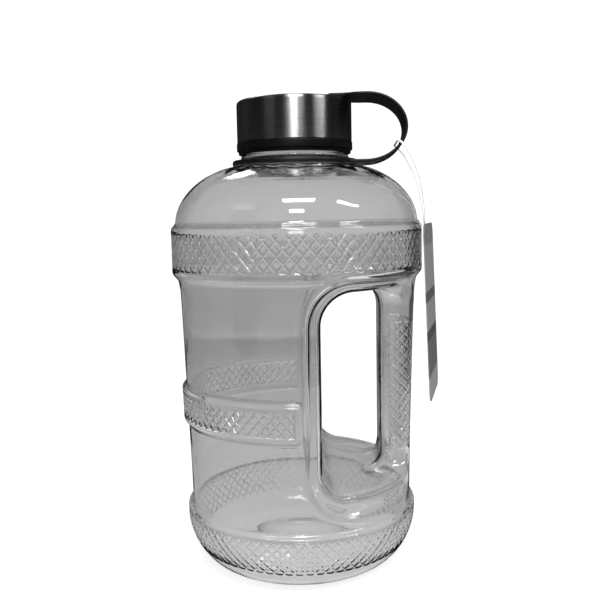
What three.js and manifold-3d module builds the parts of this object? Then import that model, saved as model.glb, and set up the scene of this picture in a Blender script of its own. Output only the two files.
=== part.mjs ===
// Half-gallon water jug with a through handle, a screw cap and a flexible carry strap.
// Millimetres, +Z up. The origin is the centre of the base; the handle is on the +X side.
import * as THREE from 'three';
import { mergeVertices } from 'three/addons/utils/BufferGeometryUtils.js';
import Module from 'manifold-3d';

const wasm = await Module();
wasm.setup();

// ---- driving dimensions ----------------------------------------------------------------
const ROUND = 48; // facets round a turned piece
const SMALL_ROUND = 24; // facets round a small stem or hole
const GAP = 0.3; // running gap between neighbouring pieces
const MARGIN = 1; // how far a cutting solid runs past what it cuts
const BEYOND = 90; // half size of a cutting solid that reaches right across the jug

const WALL = 1.8; // blown wall of the jug
const BASE_RING = { inner: 36, outer: 45.6, pushUp: 6 }; // flat ring it stands on, domed centre
const BASE_CORNER = { height: 24.4, exponent: 1.67 }; // rounded foot, as a superellipse
const LOWER_BAND = { radius: 61.8, top: 30.6 };
const GROOVE = { radius: 59.2, bottom: 31.4, top: 33.4 };
const BODY = { lowRadius: 59.4, lowZ: 46, highRadius: 62.1, highZ: 144 };
const UPPER_BAND = { radius: 66, bottom: 153.6, top: 178.6, flank: 2.2, flankHeight: 1.4 };
const MIDDLE_BAND = { radius: 62.9, bottom: 75, top: 96, endX: 2.5, flank: 2.2, bevel: 1 };
const DOME = { radius: 63.6, bottom: 179.6, top: 208.9, exponent: 1.85 };
const NECK = { root: 26, waist: 26.6, bead: 28.5, beadLow: 210.9, beadHigh: 213.9, lip: 234.3 };
const NECK_BEVEL = 0.6; // on the lip and the bead
const MOUTH_RADIUS = 24;

const OPENING = { left: 10.7, bottom: 47, top: 146, corner: 15 }; // finger hole, straight through
const RIM = { left: 6.5, bottom: 39.5, top: 150, corner: 18, depth: 4.5 }; // its rounded lip
const GRIP = { inner: 43, halfWidth: 16, corner: 8 }; // hollow column on the +X side

const THREAD = { pitch: 6, turns: 1.25, start: 219, bead: 1.1, sides: 8, stepsPerTurn: 24 };
const THREAD_OFFSET = THREAD.pitch / 2; // the cap's thread lies midway between the neck's turns

const CAP = { bottom: 214.3, radius: 30.3, lipRadius: 29.4, lipTop: 216.2, bore: 27.6, bevel: 0.4 };
const CAP_FLOOR = { under: 237.3, over: 239.8, shoulder: 1.6 }; // the disc across the inner cap
const SHELL = { radius: 30, bottom: 220.4, top: 241.6, sheet: 0.6, edge: 3.5, rim: 25.5 };
const GASKET = { inner: 23.6, height: 2.4 };

const STRAP = { thickness: 1.5, width: 31, azimuth: -4 };
const COLLAR = { inner: 27.2, outer: 32.6, bottom: 208.9 };
const BOW = { startX: 31, centreX: 37.5, reach: 20, bottom: 209.65, top: 242.9, steps: 14 };
const EYE = { radius: 24.4, bore: 5.6, rampStart: 13, rampEnd: 19.4, tongue: 26 };
const STUD = { stem: 5.1, head: 9, headHeight: 1.6, bevel: 2 };

const TAG = { width: 48, height: 91, card: 0.6, hole: 2, holeDrop: 5.5, corner: 6 };
const TAG_PLACE = { x: 69.4, y: 0, top: 177.3, turn: -11, lean: -2.2 };
const STRING_RADIUS = 0.5;

const DEGREE = Math.PI / 180;

// ---- solids ------------------------------------------------------------------------------
function solidOf(geometry) {
  const bare = geometry.clone();
  bare.deleteAttribute('normal');
  bare.deleteAttribute('uv');
  const merged = mergeVertices(bare, 1e-4);
  const triangles = [];
  for (let i = 0; i < merged.index.count; i += 3) {
    const [a, b, c] = [0, 1, 2].map((k) => merged.index.getX(i + k));
    if (a !== b && b !== c && c !== a) triangles.push(a, b, c);
  }
  return new wasm.Manifold(new wasm.Mesh({
    numProp: 3,
    vertProperties: new Float32Array(merged.attributes.position.array),
    triVerts: new Uint32Array(triangles),
  }));
}

function geometryOf(solid) {
  const mesh = solid.getMesh();
  const geometry = new THREE.BufferGeometry();
  geometry.setAttribute('position', new THREE.BufferAttribute(mesh.vertProperties, 3));
  geometry.setIndex(new THREE.BufferAttribute(mesh.triVerts, 1));
  geometry.computeVertexNormals();
  return geometry;
}

/** A turned solid from [radius, height] points, from its lowest point up the outside. */
function turned(points, facets = ROUND) {
  const profile = points.map(([r, z]) => new THREE.Vector2(r, z));
  return new THREE.LatheGeometry(profile, facets).rotateX(Math.PI / 2);
}

function ring(inner, outer, bottom, top, facets = ROUND) {
  const corners = [[inner, bottom], [outer, bottom], [outer, top], [inner, top]];
  return turned([...corners, corners[0]], facets);
}

function disc(radius, bottom, top, facets = ROUND) {
  return turned([[0, bottom], [radius, bottom], [radius, top], [0, top]], facets);
}

/** Points of a superellipse quarter from (cx + rx, cz) to (cx, cz + rz). */
function quarter(cx, cz, rx, rz, exponent, steps) {
  return Array.from({ length: steps + 1 }, (_, i) => {
    const angle = (i / steps) * (Math.PI / 2);
    const power = 2 / exponent;
    return [cx + rx * Math.cos(angle) ** power, cz + rz * Math.sin(angle) ** power];
  });
}

/** A shape drawn in X and Z, made solid from y = -depth/2 to +depth/2. */
function alongY(shape, depth, curveSegments = 6) {
  const options = { depth, bevelEnabled: false, curveSegments };
  return new THREE.ExtrudeGeometry(shape, options).rotateX(Math.PI / 2).translate(0, depth / 2, 0);
}

/** A shape drawn in X and Y, made solid from z = bottom to top. */
function alongZ(shape, bottom, top, curveSegments = 4) {
  const options = { depth: top - bottom, bevelEnabled: false, curveSegments };
  return new THREE.ExtrudeGeometry(shape, options).translate(0, 0, bottom);
}

/** A rectangle whose two left corners are round, or all four if `all` is set. */
function roundedShape(left, right, low, high, corner, all = false) {
  const shape = new THREE.Shape();
  const rightCorner = all ? corner : 0;
  shape.moveTo(left + corner, low);
  shape.lineTo(right - rightCorner, low);
  if (all) shape.absarc(right - corner, low + corner, corner, -Math.PI / 2, 0);
  shape.lineTo(right, high - rightCorner);
  if (all) shape.absarc(right - corner, high - corner, corner, 0, Math.PI / 2);
  shape.lineTo(left + corner, high);
  shape.absarc(left + corner, high - corner, corner, Math.PI / 2, Math.PI);
  shape.lineTo(left, low + corner);
  shape.absarc(left + corner, low + corner, corner, Math.PI, Math.PI * 1.5);
  return shape;
}

/** A round bead wound right-handed on a radius, rising one pitch a turn. */
function helix(radius, start) {
  class Helix extends THREE.Curve {
    getPoint(t, target = new THREE.Vector3()) {
      const angle = t * THREAD.turns * Math.PI * 2;
      const height = start + t * THREAD.turns * THREAD.pitch;
      return target.set(radius * Math.cos(angle), radius * Math.sin(angle), height);
    }
  }
  const section = new THREE.Shape();
  section.absarc(0, 0, THREAD.bead, 0, Math.PI * 2);
  const steps = Math.round(THREAD.turns * THREAD.stepsPerTurn);
  return new THREE.ExtrudeGeometry(section, {
    steps, curveSegments: THREAD.sides, extrudePath: new Helix(),
  });
}

// ---- jug ---------------------------------------------------------------------------------
/** The jug filled solid, without its handle hole. */
function jugOutside() {
  const { inner, outer, pushUp } = BASE_RING;
  const dish = [0, 0.4, 0.75, 1].map((t) => [inner * t, pushUp * (1 - t * t)]);
  const across = LOWER_BAND.radius - outer;
  const foot = quarter(outer, 0, across, BASE_CORNER.height, BASE_CORNER.exponent, 7)
    .map(([r, z]) => [r, BASE_CORNER.height - z]).reverse();
  const dome = quarter(NECK.waist, DOME.bottom, DOME.radius - NECK.waist,
    DOME.top - DOME.bottom, DOME.exponent, 8);
  return solidOf(turned([
    ...dish,
    ...foot,
    [LOWER_BAND.radius, LOWER_BAND.top],
    [GROOVE.radius, GROOVE.bottom],
    [GROOVE.radius, GROOVE.top],
    [BODY.lowRadius, BODY.lowZ],
    [BODY.highRadius, BODY.highZ],
    [UPPER_BAND.radius - UPPER_BAND.flank, UPPER_BAND.bottom - UPPER_BAND.flankHeight],
    [UPPER_BAND.radius, UPPER_BAND.bottom],
    [UPPER_BAND.radius, UPPER_BAND.top],
    ...dome,
    [NECK.waist, NECK.beadLow - NECK_BEVEL],
    [NECK.bead, NECK.beadLow],
    [NECK.bead, NECK.beadHigh - NECK_BEVEL],
    [NECK.root, NECK.beadHigh],
    [NECK.root, NECK.lip - NECK_BEVEL],
    [NECK.root - NECK_BEVEL, NECK.lip],
    [0, NECK.lip],
  ]));
}

/** The space inside the jug, out through its mouth. */
function jugInside() {
  const { inner, outer, pushUp } = BASE_RING;
  const dish = [0, 0.5, 1].map((t) => [inner * t, WALL + pushUp * (1 - t * t)]);
  const across = LOWER_BAND.radius - outer;
  const foot = quarter(outer, 0, across - WALL, BASE_CORNER.height - WALL, BASE_CORNER.exponent, 5)
    .map(([r, z]) => [r, BASE_CORNER.height - z]).reverse();
  const dome = quarter(MOUTH_RADIUS, DOME.bottom - WALL, DOME.radius - WALL - MOUTH_RADIUS,
    DOME.top - DOME.bottom, DOME.exponent, 6);
  return solidOf(turned([
    ...dish,
    ...foot,
    [BODY.lowRadius - WALL, GROOVE.bottom - WALL / 2],
    [BODY.lowRadius - WALL, BODY.lowZ],
    [BODY.highRadius - WALL, BODY.highZ],
    [UPPER_BAND.radius - 2 * WALL, UPPER_BAND.bottom],
    ...dome,
    [MOUTH_RADIUS, NECK.lip + MARGIN],
    [0, NECK.lip + MARGIN],
  ]));
}

/** What the handle takes out of the jug. `grow` widens it by the wall for the inside. */
function handleHole(grow) {
  const hole = solidOf(alongY(roundedShape(OPENING.left - grow, BEYOND,
    OPENING.bottom - grow, OPENING.top + grow, OPENING.corner + grow), 2 * BEYOND));
  const rim = solidOf(alongY(roundedShape(RIM.left - grow, BEYOND,
    RIM.bottom - grow, RIM.top + grow, RIM.corner + grow), 2 * BEYOND));
  const midRadius = (BODY.lowRadius + BODY.highRadius) / 2;
  const core = solidOf(disc(midRadius - RIM.depth - grow, -MARGIN, 2 * BEYOND));
  const grip = solidOf(alongZ(roundedShape(GRIP.inner + grow, BEYOND + MARGIN,
    -GRIP.halfWidth + grow, GRIP.halfWidth - grow, GRIP.corner - grow / 2), -MARGIN, 2 * BEYOND));
  return hole.add(rim.subtract(core)).subtract(grip);
}

function jugBody() {
  const { radius, bottom, top, endX, flank, bevel } = MIDDLE_BAND;
  const rest = BODY.lowRadius - MARGIN; // the band's inner side, hidden in the wall
  const half = roundedShape(-BEYOND, endX, bottom - 2 * bevel, top + 2 * bevel, bevel);
  const band = solidOf(turned([
    [rest, bottom - bevel],
    [radius - flank, bottom - bevel],
    [radius, bottom + bevel],
    [radius, top - bevel],
    [radius - flank, top + bevel],
    [rest, top + bevel],
    [rest, bottom - bevel],
  ])).intersect(solidOf(alongY(half, 2 * BEYOND)));
  const thread = solidOf(helix(NECK.root, THREAD.start));
  const outside = jugOutside().subtract(handleHole(0)).add(band).add(thread);
  return geometryOf(outside.subtract(jugInside().subtract(handleHole(WALL))));
}

// ---- cap ---------------------------------------------------------------------------------
function capInner() {
  const body = solidOf(turned([
    [CAP.bore, CAP.bottom],
    [CAP.lipRadius, CAP.bottom],
    [CAP.lipRadius, CAP.lipTop - CAP.bevel],
    [CAP.radius, CAP.lipTop],
    [CAP.radius, SHELL.bottom - GAP],
    [SHELL.radius - SHELL.sheet - GAP, SHELL.bottom - GAP],
    [SHELL.radius - SHELL.sheet - GAP, CAP_FLOOR.over - CAP_FLOOR.shoulder],
    [SHELL.rim, CAP_FLOOR.over],
    [STUD.stem + GAP, CAP_FLOOR.over],
    [STUD.stem + GAP, CAP_FLOOR.under],
    [CAP.bore, CAP_FLOOR.under],
    [CAP.bore, CAP.bottom],
  ]));
  return geometryOf(body.add(solidOf(helix(CAP.bore, THREAD.start - THREAD_OFFSET))));
}

/** Drawn steel: a skirt, a rounded top edge and a narrow rim round a shallow dish. */
function capShell() {
  const { radius, bottom, top, sheet, edge, rim } = SHELL;
  const outside = quarter(radius - edge, top - edge, edge, edge, 2, 4);
  const inside = quarter(radius - edge, top - edge, edge - sheet, edge - sheet, 2, 4).reverse();
  const start = [radius, bottom];
  return turned([start, ...outside, [rim, top], [rim, top - sheet], ...inside,
    [radius - sheet, bottom], start]);
}

function capGasket() {
  const top = CAP_FLOOR.under - GAP;
  return ring(GASKET.inner, CAP.bore - GAP, top - GASKET.height, top);
}

function capStud() {
  const under = CAP_FLOOR.over + GAP + STRAP.thickness + GAP;
  const { stem, head, headHeight, bevel } = STUD;
  return turned([
    [0, CAP_FLOOR.under],
    [stem, CAP_FLOOR.under],
    [stem, under],
    [head, under],
    [head, under + headHeight / 2],
    [head - bevel, under + headHeight],
    [0, under + headHeight],
  ], SMALL_ROUND);
}

// ---- strap -------------------------------------------------------------------------------
/** The bow in X and Z: out from the collar, round, and back over the cap. */
function strapBow() {
  const half = STRAP.thickness / 2;
  const mid = (BOW.bottom + BOW.top) / 2;
  const rise = (BOW.top - BOW.bottom) / 2;
  const arc = (offset, clockwise) => {
    const points = [];
    for (let i = 0; i <= BOW.steps; i += 1) {
      const angle = (i / BOW.steps - 0.5) * Math.PI;
      const across = (BOW.reach + offset) * Math.cos(angle);
      points.push([BOW.centreX + across, mid + (rise + offset) * Math.sin(angle)]);
    }
    return clockwise ? points.reverse() : points;
  };
  const outline = [
    [COLLAR.outer + GAP, BOW.bottom - half],
    ...arc(half, false),
    [BOW.startX + GAP, BOW.top + half],
    [BOW.startX + GAP, BOW.top - half],
    ...arc(-half, true),
    [COLLAR.outer + GAP, BOW.bottom + half],
  ].map(([x, z]) => new THREE.Vector2(x, z));
  return alongY(new THREE.Shape(outline), STRAP.width);
}

function strapCollar() {
  return ring(COLLAR.inner, COLLAR.outer, COLLAR.bottom, COLLAR.bottom + STRAP.thickness);
}

/** The strap's upper end: a disc in the cap's dish and a tongue that climbs over the rim. */
function strapEye() {
  const { rampStart, rampEnd, radius, bore, tongue } = EYE;
  const low = CAP_FLOOR.over + GAP;
  const high = BOW.top - STRAP.thickness / 2;
  const [under, over] = [low - MARGIN, high + STRAP.thickness + MARGIN];
  const left = -radius - MARGIN;
  const lower = [[left, low], [rampStart, low], [rampEnd, high], [BOW.startX, high]];
  const upper = lower.map(([x, z]) => [x, z + STRAP.thickness]).reverse();
  const outline = [...lower, ...upper].map(([x, z]) => new THREE.Vector2(x, z));
  const sheet = solidOf(alongY(new THREE.Shape(outline), 2 * radius + MARGIN));
  const round = solidOf(disc(radius, under, over));
  const upToRamp = roundedShape(left, rampStart, left, -left, MARGIN);
  const across = roundedShape(0, BOW.startX, -tongue / 2, tongue / 2, MARGIN);
  const plan = round.intersect(solidOf(alongZ(upToRamp, under, over)))
    .add(solidOf(alongZ(across, under, over)));
  const stem = solidOf(disc(bore, under, over, SMALL_ROUND));
  return geometryOf(sheet.intersect(plan).subtract(stem));
}

// ---- tag ---------------------------------------------------------------------------------
function swingTag() {
  const { width, height, card, hole, holeDrop, corner } = TAG;
  const shape = roundedShape(-width / 2, width / 2, -height, 0, corner, true);
  const punched = new THREE.Path();
  punched.absarc(0, -holeDrop, hole, 0, Math.PI * 2, true);
  shape.holes.push(punched);
  return alongY(shape, card, 4).rotateZ(Math.PI / 2);
}

/** A loop of string: from the tag's hole, round the bow's edges, and back to the hole. */
function tagString() {
  const strand = [
    [68.9, 0.7, 171], [68.1, 1.3, 173.6], [67.9, 2.2, 177.5], [67.2, 5, 186.5], [64.4, 10.2, 200.5],
    [59, 15.6, 212.6], [55.7, 17.3, 217], [53.6, 16.6, 218.9], [52.9, 13.6, 219], [52.8, 5, 219],
  ];
  const route = [...strand, ...strand.toReversed().map(([x, y, z]) => [x, -y, z])]
    .map(([x, y, z]) => new THREE.Vector3(x, y, z));
  const section = new THREE.Shape();
  section.absarc(0, 0, STRING_RADIUS, 0, Math.PI * 2);
  const path = new THREE.CatmullRomCurve3(route, false, 'centripetal');
  return new THREE.ExtrudeGeometry(section, { steps: 60, curveSegments: 8, extrudePath: path });
}

// ---- assembly ----------------------------------------------------------------------------
const copolyester = { color: 0xd4d8da, roughness: 0.08, metalness: 0, transparent: true, opacity: 0.35 };
const polypropylene = { color: 0x141414, roughness: 0.45, metalness: 0 };
const stainless = { color: 0xb8b8ba, roughness: 0.28, metalness: 1 };
const silicone = { color: 0xd9d9d6, roughness: 0.6, metalness: 0 };
const elastomer = { color: 0x101010, roughness: 0.55, metalness: 0 };
const card = { color: 0x5a5a5c, roughness: 0.7, metalness: 0 };
const cotton = { color: 0xe6e4de, roughness: 0.9, metalness: 0 };

function piece(name, geometry, finish) {
  const mesh = new THREE.Mesh(geometry, new THREE.MeshStandardMaterial(finish));
  mesh.name = name;
  return mesh;
}

const cap = new THREE.Group();
cap.add(
  piece('cap_inner', capInner(), polypropylene),
  piece('cap_shell', capShell(), stainless),
  piece('cap_gasket', capGasket(), silicone),
  piece('strap_stud', capStud(), polypropylene),
);

const strap = new THREE.Group();
strap.add(
  piece('strap_collar', strapCollar(), elastomer),
  piece('strap_bow', strapBow(), elastomer),
  piece('strap_eye', strapEye(), elastomer),
);
strap.rotation.z = STRAP.azimuth * DEGREE;

const tag = piece('swing_tag', swingTag(), card);
tag.position.set(TAG_PLACE.x, TAG_PLACE.y, TAG_PLACE.top);
tag.rotation.set(0, TAG_PLACE.lean * DEGREE, TAG_PLACE.turn * DEGREE);
strap.add(tag, piece('tag_string', tagString(), cotton));

const jug = new THREE.Group();
jug.add(piece('jug_body', jugBody(), copolyester), cap, strap);

export default jug;
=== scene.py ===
# %% [markdown]
# # A half-gallon water jug
#
# This lesson builds the looks of a clear water jug with a through handle, a brushed
# steel screw cap and a black carry strap. The moving frame of the jug already exists as
# a CAD model: each piece here rides on one of its bodies, in the same place and size.
# The hard part is the jug itself, one blown skin whose handle grows out of the body
# with soft fillets, so most cells are about that shape and about clear plastic.

# %% Load the frame
import math

import bmesh
import bpy
import numpy as np
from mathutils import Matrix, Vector


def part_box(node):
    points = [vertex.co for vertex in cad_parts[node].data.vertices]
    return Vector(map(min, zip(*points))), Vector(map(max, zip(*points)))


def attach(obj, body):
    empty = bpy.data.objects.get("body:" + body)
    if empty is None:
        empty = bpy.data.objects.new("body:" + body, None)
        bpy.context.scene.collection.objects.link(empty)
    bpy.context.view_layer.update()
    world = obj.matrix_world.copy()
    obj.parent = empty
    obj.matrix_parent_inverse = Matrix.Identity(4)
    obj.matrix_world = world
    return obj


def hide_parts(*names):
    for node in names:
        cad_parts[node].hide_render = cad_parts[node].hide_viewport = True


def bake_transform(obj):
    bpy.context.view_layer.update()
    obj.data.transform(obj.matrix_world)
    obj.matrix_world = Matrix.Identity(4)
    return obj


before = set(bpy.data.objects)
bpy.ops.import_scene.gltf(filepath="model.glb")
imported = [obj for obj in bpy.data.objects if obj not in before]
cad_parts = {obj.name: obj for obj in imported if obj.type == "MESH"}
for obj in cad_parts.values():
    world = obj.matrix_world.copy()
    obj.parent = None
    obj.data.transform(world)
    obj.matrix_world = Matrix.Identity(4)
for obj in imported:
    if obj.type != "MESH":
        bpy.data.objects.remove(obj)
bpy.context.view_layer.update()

MM = 0.001

# %% [markdown]
# ## Sizes that come from the frame
#
# Every piece is placed from the box of its CAD node, so nothing is fitted by eye. The
# shapes are worked out in millimetres, because that is how a bottle drawing is written,
# and turned to metres only when a mesh is made.

# %% Read the boxes
def mm_box(node):
    low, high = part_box(node)
    return np.array(low) / MM, np.array(high) / MM


_, jug_high = mm_box("jug_body")
shell_low, shell_high = mm_box("cap_shell")
inner_low, inner_high = mm_box("cap_inner")
gasket_low, gasket_high = mm_box("cap_gasket")
stud_low, stud_high = mm_box("strap_stud")
_, collar_high = mm_box("strap_collar")
eye_low, _ = mm_box("strap_eye")
print("jug", jug_high.round(1), "steel shell", shell_low.round(1), shell_high.round(1))

# %% [markdown]
# ## Helpers for colour, nodes and meshes
#
# Colours are written as the hex numbers a designer reads off a swatch and turned to
# linear light by one function. One more function adds a shader node with its settings
# and its links, so that each material below reads as a short recipe.

# %% Colour and nodes
def linear(hex_colour):
    channels = [int(hex_colour[i : i + 2], 16) / 255 for i in (1, 3, 5)]
    light = [c / 12.92 if c <= 0.04045 else ((c + 0.055) / 1.055) ** 2.4 for c in channels]
    return (*light, 1.0)


def add_node(tree, kind, settings=None, links=None):
    """Adds a node. settings are its properties or inputs, links its inputs' sources."""
    node = tree.nodes.new(kind)
    for name, value in (settings or {}).items():
        if name in node.inputs:
            node.inputs[name].default_value = value
        else:
            setattr(node, name, value)
    for name, source in (links or {}).items():
        tree.links.new(source, node.inputs[name])
    return node


def new_material(name):
    material = bpy.data.materials.new(name)
    material.use_nodes = True
    tree = material.node_tree
    tree.nodes.clear()
    return material, tree


def finish_material(tree, surface):
    add_node(tree, "ShaderNodeOutputMaterial", links={"Surface": surface.outputs[0]})


print("mid grey #808080 in linear light:", round(linear("#808080")[0], 3))

# %% Meshes and pieces
def mesh_object(name, points_mm, faces, smooth_below=180.0):
    """A mesh object from points in millimetres. Edges sharper than the angle stay crisp."""
    mesh = bpy.data.meshes.new(name)
    mesh.from_pydata(np.asarray(points_mm, float) * MM, [], faces)
    mesh.polygons.foreach_set("use_smooth", np.ones(len(mesh.polygons), bool))
    if smooth_below < 180:
        mesh.set_sharp_from_angle(angle=math.radians(smooth_below))
    piece = bpy.data.objects.new(name, mesh)
    bpy.context.scene.collection.objects.link(piece)
    return piece


def finish_piece(piece, material, slot, body, *nodes):
    """Gives a piece its material and lets it stand for its CAD nodes. slot is not used."""
    piece.data.materials.clear()
    piece.data.materials.append(material)
    if nodes:
        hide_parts(*nodes)
    if body:
        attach(piece, body)
    print(piece.name, "rides on", body, "and stands for", nodes)
    return piece


# %% [markdown]
# ## The camera
#
# A 45 mm lens on a 36 mm frame, a forearm's length from the jug and a little above its
# middle, looks slightly down. The base then shows as a shallow oval and the underside
# of the strap can be seen. The small roll is a hand-held tilt.

# %% Place the camera
CAMERA = {"x": 1.3, "y": -401.0, "z": 183.4, "down": 6.55, "roll": -1.09, "lens": 45.0}


def place_camera():
    data = bpy.data.cameras.new("camera")
    data.lens = CAMERA["lens"]
    data.sensor_width = 36.0
    data.clip_start = 0.01
    data.clip_end = 50.0
    camera = bpy.data.objects.new("camera", data)
    bpy.context.scene.collection.objects.link(camera)
    camera.location = Vector((CAMERA["x"], CAMERA["y"], CAMERA["z"])) * MM
    camera.rotation_mode = "XYZ"
    tilt = math.radians(90 - CAMERA["down"])
    camera.rotation_euler = (tilt, 0.0, 0.0)
    camera.rotation_euler.rotate_axis("Z", math.radians(CAMERA["roll"]))
    bpy.context.scene.camera = camera
    return camera


camera = place_camera()
print("camera at", [round(x, 3) for x in camera.location])

# %% [markdown]
# ## The tag's string
#
# A loop of twisted cotton thread hangs the tag from the strap. It goes up from the
# tag's hole, round both edges of the strap and down again, so its length is fixed by
# those points. It is made as a curve, because a cord is a line with a thickness.

# %% Route of the string
STRAP_TURN = math.radians(-4)  # the strap points this far towards the viewer
STRING = {"diameter": 1.0, "length": 143.0}
STRAND = [
    (68.9, 0.7, 171), (68.1, 1.3, 173.6), (67.9, 2.2, 177.5), (67.2, 5, 186.5),
    (64.4, 10.2, 200.5), (59, 15.6, 212.6), (55.7, 17.3, 217), (53.6, 16.6, 218.9),
    (52.9, 13.6, 219), (52.8, 5, 219),
]


def turn_z(points, angle):
    points = np.asarray(points, float)
    c, s = math.cos(angle), math.sin(angle)
    x, y = points[:, 0] * c - points[:, 1] * s, points[:, 0] * s + points[:, 1] * c
    return np.column_stack([x, y, points[:, 2]])


def smooth_route(points, parts=5):
    """A Catmull-Rom line through the points."""
    p = np.vstack([2 * points[0] - points[1], points, 2 * points[-1] - points[-2]])
    line = []
    for a, b, c, d in zip(p, p[1:], p[2:], p[3:]):
        for t in np.linspace(0, 1, parts, endpoint=False):
            line.append(0.5 * (2 * b + (c - a) * t + (2 * a - 5 * b + 4 * c - d) * t**2
                               + (3 * b - a - 3 * c + d) * t**3))
    return np.array([*line, points[-1]])


def make_string():
    strand = np.array(STRAND, float)
    route = np.vstack([strand, strand[::-1] * [1, -1, 1]])
    line = smooth_route(turn_z(route, STRAP_TURN)) * MM
    data = bpy.data.curves.new("tag_string", "CURVE")
    data.dimensions = "3D"
    data.bevel_depth = STRING["diameter"] * MM / 2
    data.bevel_resolution = 4
    data.use_fill_caps = True
    spline = data.splines.new("POLY")
    spline.points.add(len(line) - 1)
    spline.points.foreach_set("co", np.column_stack([line, np.ones(len(line))]).ravel())
    piece = bpy.data.objects.new("tag_cord", data)
    bpy.context.scene.collection.objects.link(piece)
    print("string length, mm:", np.linalg.norm(np.diff(line, axis=0), axis=1).sum() / MM)
    return piece, line


tag_cord, cord_line = make_string()

# %% [markdown]
# ## Clear copolyester
#
# The jug is blown from a clear copolyester, sold for drinking bottles because it looks
# like glass and survives a fall. Its index of refraction is about 1.54. A blown wall is
# never quite even: the bump is a slow wave of a few centimetres, which bends reflections
# the way a moulded bottle does, and a fine one of a few millimetres. The wall takes a
# little light, so two walls look mid-grey in front of a white backdrop.

# %% The jug's material
def clear_copolyester():
    material, tree = new_material("clear_copolyester")
    place = add_node(tree, "ShaderNodeTexCoord")
    slow = add_node(tree, "ShaderNodeTexNoise", {"Scale": 1 / (28 * MM), "Detail": 1.0},
                    {"Vector": place.outputs["Object"]})
    fine = add_node(tree, "ShaderNodeTexNoise", {"Scale": 1 / (2.5 * MM), "Detail": 2.0},
                    {"Vector": place.outputs["Object"]})
    waves = add_node(tree, "ShaderNodeBump", {"Strength": 0.35, "Distance": 1.2 * MM},
                     {"Height": slow.outputs[0]})
    skin = add_node(tree, "ShaderNodeBump", {"Strength": 0.12, "Distance": 0.1 * MM},
                    {"Height": fine.outputs[0], "Normal": waves.outputs[0]})
    rough = add_node(tree, "ShaderNodeMapRange",
                     {"From Min": 0.3, "From Max": 0.7, "To Min": 0.02, "To Max": 0.06},
                     {"Value": fine.outputs[0]})
    surface = add_node(tree, "ShaderNodeBsdfPrincipled", {
        "Base Color": linear("#E4E4E4"), "IOR": 1.54, "Transmission Weight": 1.0,
    }, {"Normal": skin.outputs[0], "Roughness": rough.outputs[0]})
    finish_material(tree, surface)
    return material


copolyester = clear_copolyester()
print("made", copolyester.name)

# %% [markdown]
# ## Brushed stainless steel
#
# The cap's shell is drawn from 304 stainless sheet and brushed while it turns, so the
# scratches run round it. They spread a highlight across their own direction, which turns
# a window into an upright streak. The real scratches are about 0.05 mm apart. They are
# drawn 0.25 mm apart here, because finer ones would not show.

# %% The steel's material
LINE_GAP = 0.25
LINE_LENGTH = 1000 / 60  # the scratches are this long round the shell


def brushed_stainless():
    material, tree = new_material("brushed_stainless")
    place = add_node(tree, "ShaderNodeTexCoord")
    stretch = add_node(tree, "ShaderNodeMapping", {
        "Scale": (1 / (LINE_LENGTH * MM), 1 / (LINE_LENGTH * MM), 1 / (LINE_GAP * MM))},
        {"Vector": place.outputs["Object"]})
    lines = add_node(tree, "ShaderNodeTexNoise", {"Scale": 1.0, "Detail": 3.0},
                     {"Vector": stretch.outputs[0]})
    bump = add_node(tree, "ShaderNodeBump", {"Strength": 0.12, "Distance": 0.02 * MM},
                    {"Height": lines.outputs[0]})
    rough = add_node(tree, "ShaderNodeMapRange",
                     {"From Min": 0.3, "From Max": 0.7, "To Min": 0.27, "To Max": 0.35},
                     {"Value": lines.outputs[0]})
    tone = add_node(tree, "ShaderNodeMix", {"data_type": "RGBA"})
    tone.inputs[6].default_value = linear("#B4B3B2")
    tone.inputs[7].default_value = linear("#C9C8C6")
    tree.links.new(lines.outputs[0], tone.inputs[0])
    round_axis = add_node(tree, "ShaderNodeTangent", {"direction_type": "RADIAL", "axis": "Z"})
    surface = add_node(tree, "ShaderNodeBsdfPrincipled", {
        "Metallic": 1.0, "Anisotropic": 1.0, "Anisotropic Rotation": 0.25,
    }, {"Base Color": tone.outputs[2], "Roughness": rough.outputs[0],
        "Normal": bump.outputs[0], "Tangent": round_axis.outputs[0]})
    finish_material(tree, surface)
    return material


stainless = brushed_stainless()
print("made", stainless.name)

# %% [markdown]
# ## Black polypropylene, black elastomer, silicone, card and cotton
#
# The plastics share one recipe: a moulded skin has a fine spark-eroded grain that
# breaks up the gloss. Polypropylene (IOR 1.49) is satin, the strap's thermoplastic
# elastomer is softer and more matt, silicone lets a little light in. The card is coated
# board with a plain printed panel, and the string is spun cotton.

# %% A moulded plastic, by colour, gloss and grain
def moulded(name, dark, light, ior, gloss, grain_mm, depth_mm):
    material, tree = new_material(name)
    place = add_node(tree, "ShaderNodeTexCoord")
    grain = add_node(tree, "ShaderNodeTexNoise", {"Scale": 1 / (grain_mm * MM), "Detail": 3.0},
                     {"Vector": place.outputs["Object"]})
    wear = add_node(tree, "ShaderNodeTexNoise", {"Scale": 1 / (14 * MM), "Detail": 4.0},
                    {"Vector": place.outputs["Object"]})
    tone = add_node(tree, "ShaderNodeMix", {"data_type": "RGBA"})
    tone.inputs[6].default_value = linear(dark)
    tone.inputs[7].default_value = linear(light)
    tree.links.new(wear.outputs[0], tone.inputs[0])
    rough = add_node(tree, "ShaderNodeMapRange", {
        "From Min": 0.25, "From Max": 0.75, "To Min": gloss - 0.07, "To Max": gloss + 0.07,
    }, {"Value": grain.outputs[0]})
    bump = add_node(tree, "ShaderNodeBump", {"Strength": 0.5, "Distance": depth_mm * MM},
                    {"Height": grain.outputs[0]})
    surface = add_node(tree, "ShaderNodeBsdfPrincipled", {"IOR": ior}, {
        "Base Color": tone.outputs[2], "Roughness": rough.outputs[0],
        "Normal": bump.outputs[0]})
    finish_material(tree, surface)
    return material, surface


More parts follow.
